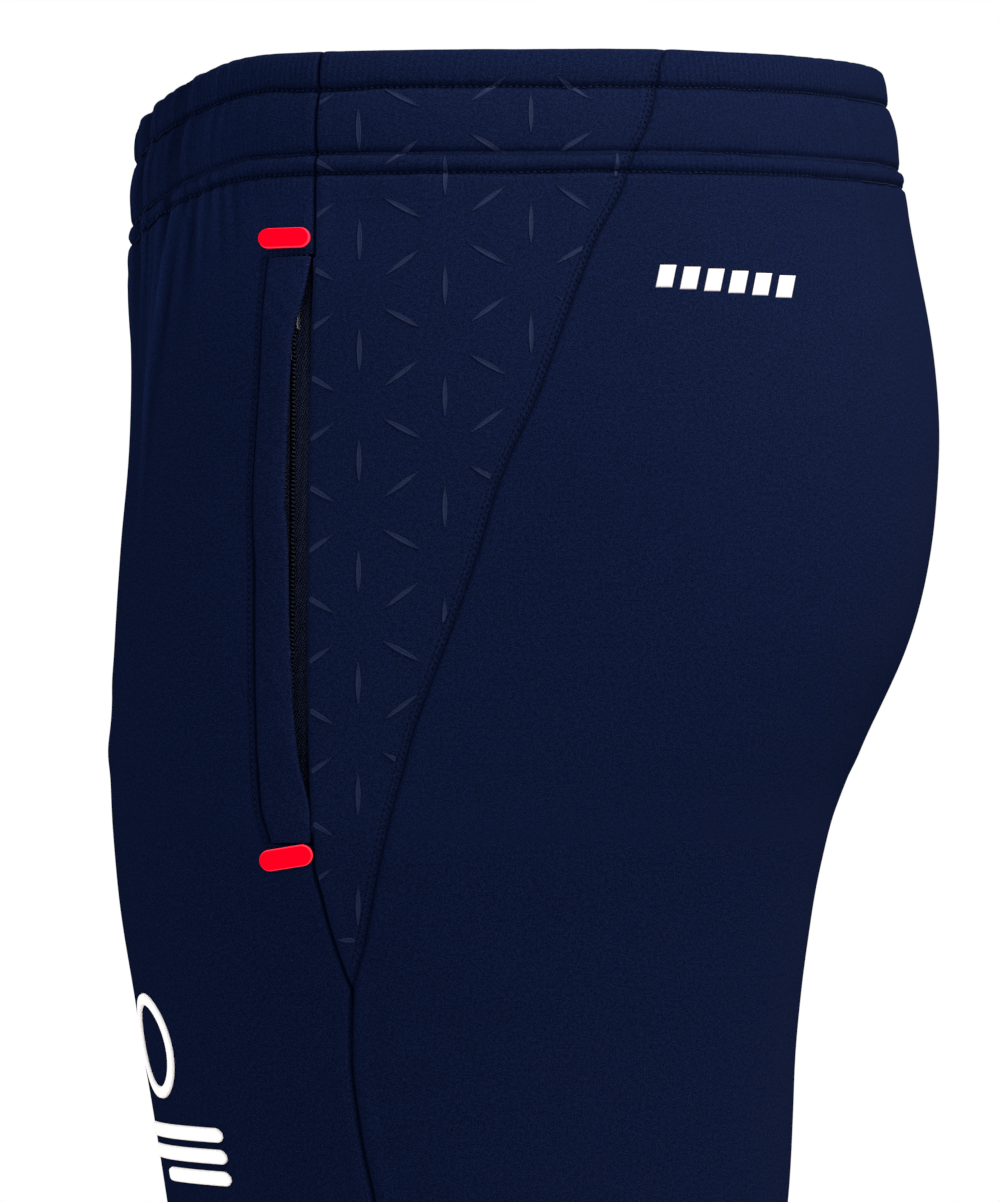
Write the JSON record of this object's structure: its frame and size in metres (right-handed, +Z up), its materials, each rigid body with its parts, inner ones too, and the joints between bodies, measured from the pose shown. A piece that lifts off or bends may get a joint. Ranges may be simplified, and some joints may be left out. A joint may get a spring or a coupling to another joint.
{
  "type": "sports training trousers",
  "caption": "Slim navy training trousers with side gores, an elasticated casing at the waist, zipped hip pockets with red end tabs and plain tapered legs.",
  "frame": {"origin": "centre of the waist opening, level with its top edge at the wearer's sides", "axes": "+Z up, -Y the wearer's front, +X the wearer's left"},
  "size_m": [0.3642, 0.2581, 1.021],
  "materials": {
    "cloth_navy": "matte",
    "cloth_side": "matte",
    "cloth_welt": "matte",
    "elastic": "matte",
    "eyelet_metal": "satin",
    "zip_tape": "matte",
    "zip_coil": "satin",
    "zip_metal": "satin",
    "zip_stop": "satin",
    "pocket_mesh": "matte",
    "tab_red": "satin",
    "print_white": "matte",
    "print_silver": "satin",
    "label": "matte"
  },
  "bodies": {
    "trousers": {"back_panel_left": "cloth_navy", "back_panel_right": "cloth_navy", "side_gore_left": "cloth_side", "side_gore_right": "cloth_side", "drawcord_eyelet_left": "eyelet_metal", "drawcord_eyelet_right": "eyelet_metal", "front_panel_left": "cloth_navy", "front_panel_right": "cloth_navy", "waist_elastic": "elastic", "hem_elastic_left": "elastic", "hem_elastic_right": "elastic", "pocket_welt_left": "cloth_welt", "pocket_welt_right": "cloth_welt", "zip_tape_front_left": "zip_tape", "zip_tape_front_right": "zip_tape", "zip_tape_rear_left": "zip_tape", "zip_tape_rear_right": "zip_tape", "zip_coil_front_left": "zip_coil", "zip_coil_front_right": "zip_coil", "zip_coil_rear_left": "zip_coil", "zip_coil_rear_right": "zip_coil", "zip_top_stop_left": "zip_stop", "zip_top_stop_right": "zip_stop", "zip_bottom_stop_left": "zip_stop", "zip_bottom_stop_right": "zip_stop", "pocket_bag_outer_left": "pocket_mesh", "pocket_bag_outer_right": "pocket_mesh", "pocket_bag_inner_left": "pocket_mesh", "pocket_bag_inner_right": "pocket_mesh", "pocket_tab_top_left": "tab_red", "pocket_tab_top_right": "tab_red", "pocket_tab_bottom_left": "tab_red", "pocket_tab_bottom_right": "tab_red", "thigh_emblem_ring": "print_white", "thigh_emblem_bar_upper": "print_white", "thigh_emblem_bar_middle": "print_white", "thigh_emblem_bar_lower": "print_white", "hip_print_dash_1": "print_silver", "hip_print_dash_2": "print_silver", "hip_print_dash_3": "print_silver", "hip_print_dash_4": "print_silver", "hip_print_dash_5": "print_silver", "hip_print_dash_6": "print_silver", "size_label": "label", "care_label": "label"},
    "slider_left": {"zip_slider_left": "zip_metal"},
    "pull_left": {"zip_pull_left": "zip_metal"},
    "slider_right": {"zip_slider_right": "zip_metal"},
    "pull_right": {"zip_pull_right": "zip_metal"}
  },
  "joints": [
    {"name": "zip_slide_left", "type": "slide", "parent": "trousers", "child": "slider_left", "axis": [0.1243, -0.0036, -0.9922], "range_m": [0, 0.14]},
    {"name": "zip_pull_swing_left", "type": "hinge", "parent": "slider_left", "child": "pull_left", "pos_m": [0.147, -0.06455, -0.08145], "axis": [-0.4873, -0.8713, -0.0579], "range_deg": [0, 12]},
    {"name": "zip_slide_right", "type": "slide", "parent": "trousers", "child": "slider_right", "axis": [-0.1243, -0.0036, -0.9922], "range_m": [0, 0.14]},
    {"name": "zip_pull_swing_right", "type": "hinge", "parent": "slider_right", "child": "pull_right", "pos_m": [-0.147, -0.06455, -0.08145], "axis": [-0.4873, 0.8713, 0.0579], "range_deg": [0, 12]}
  ]
}
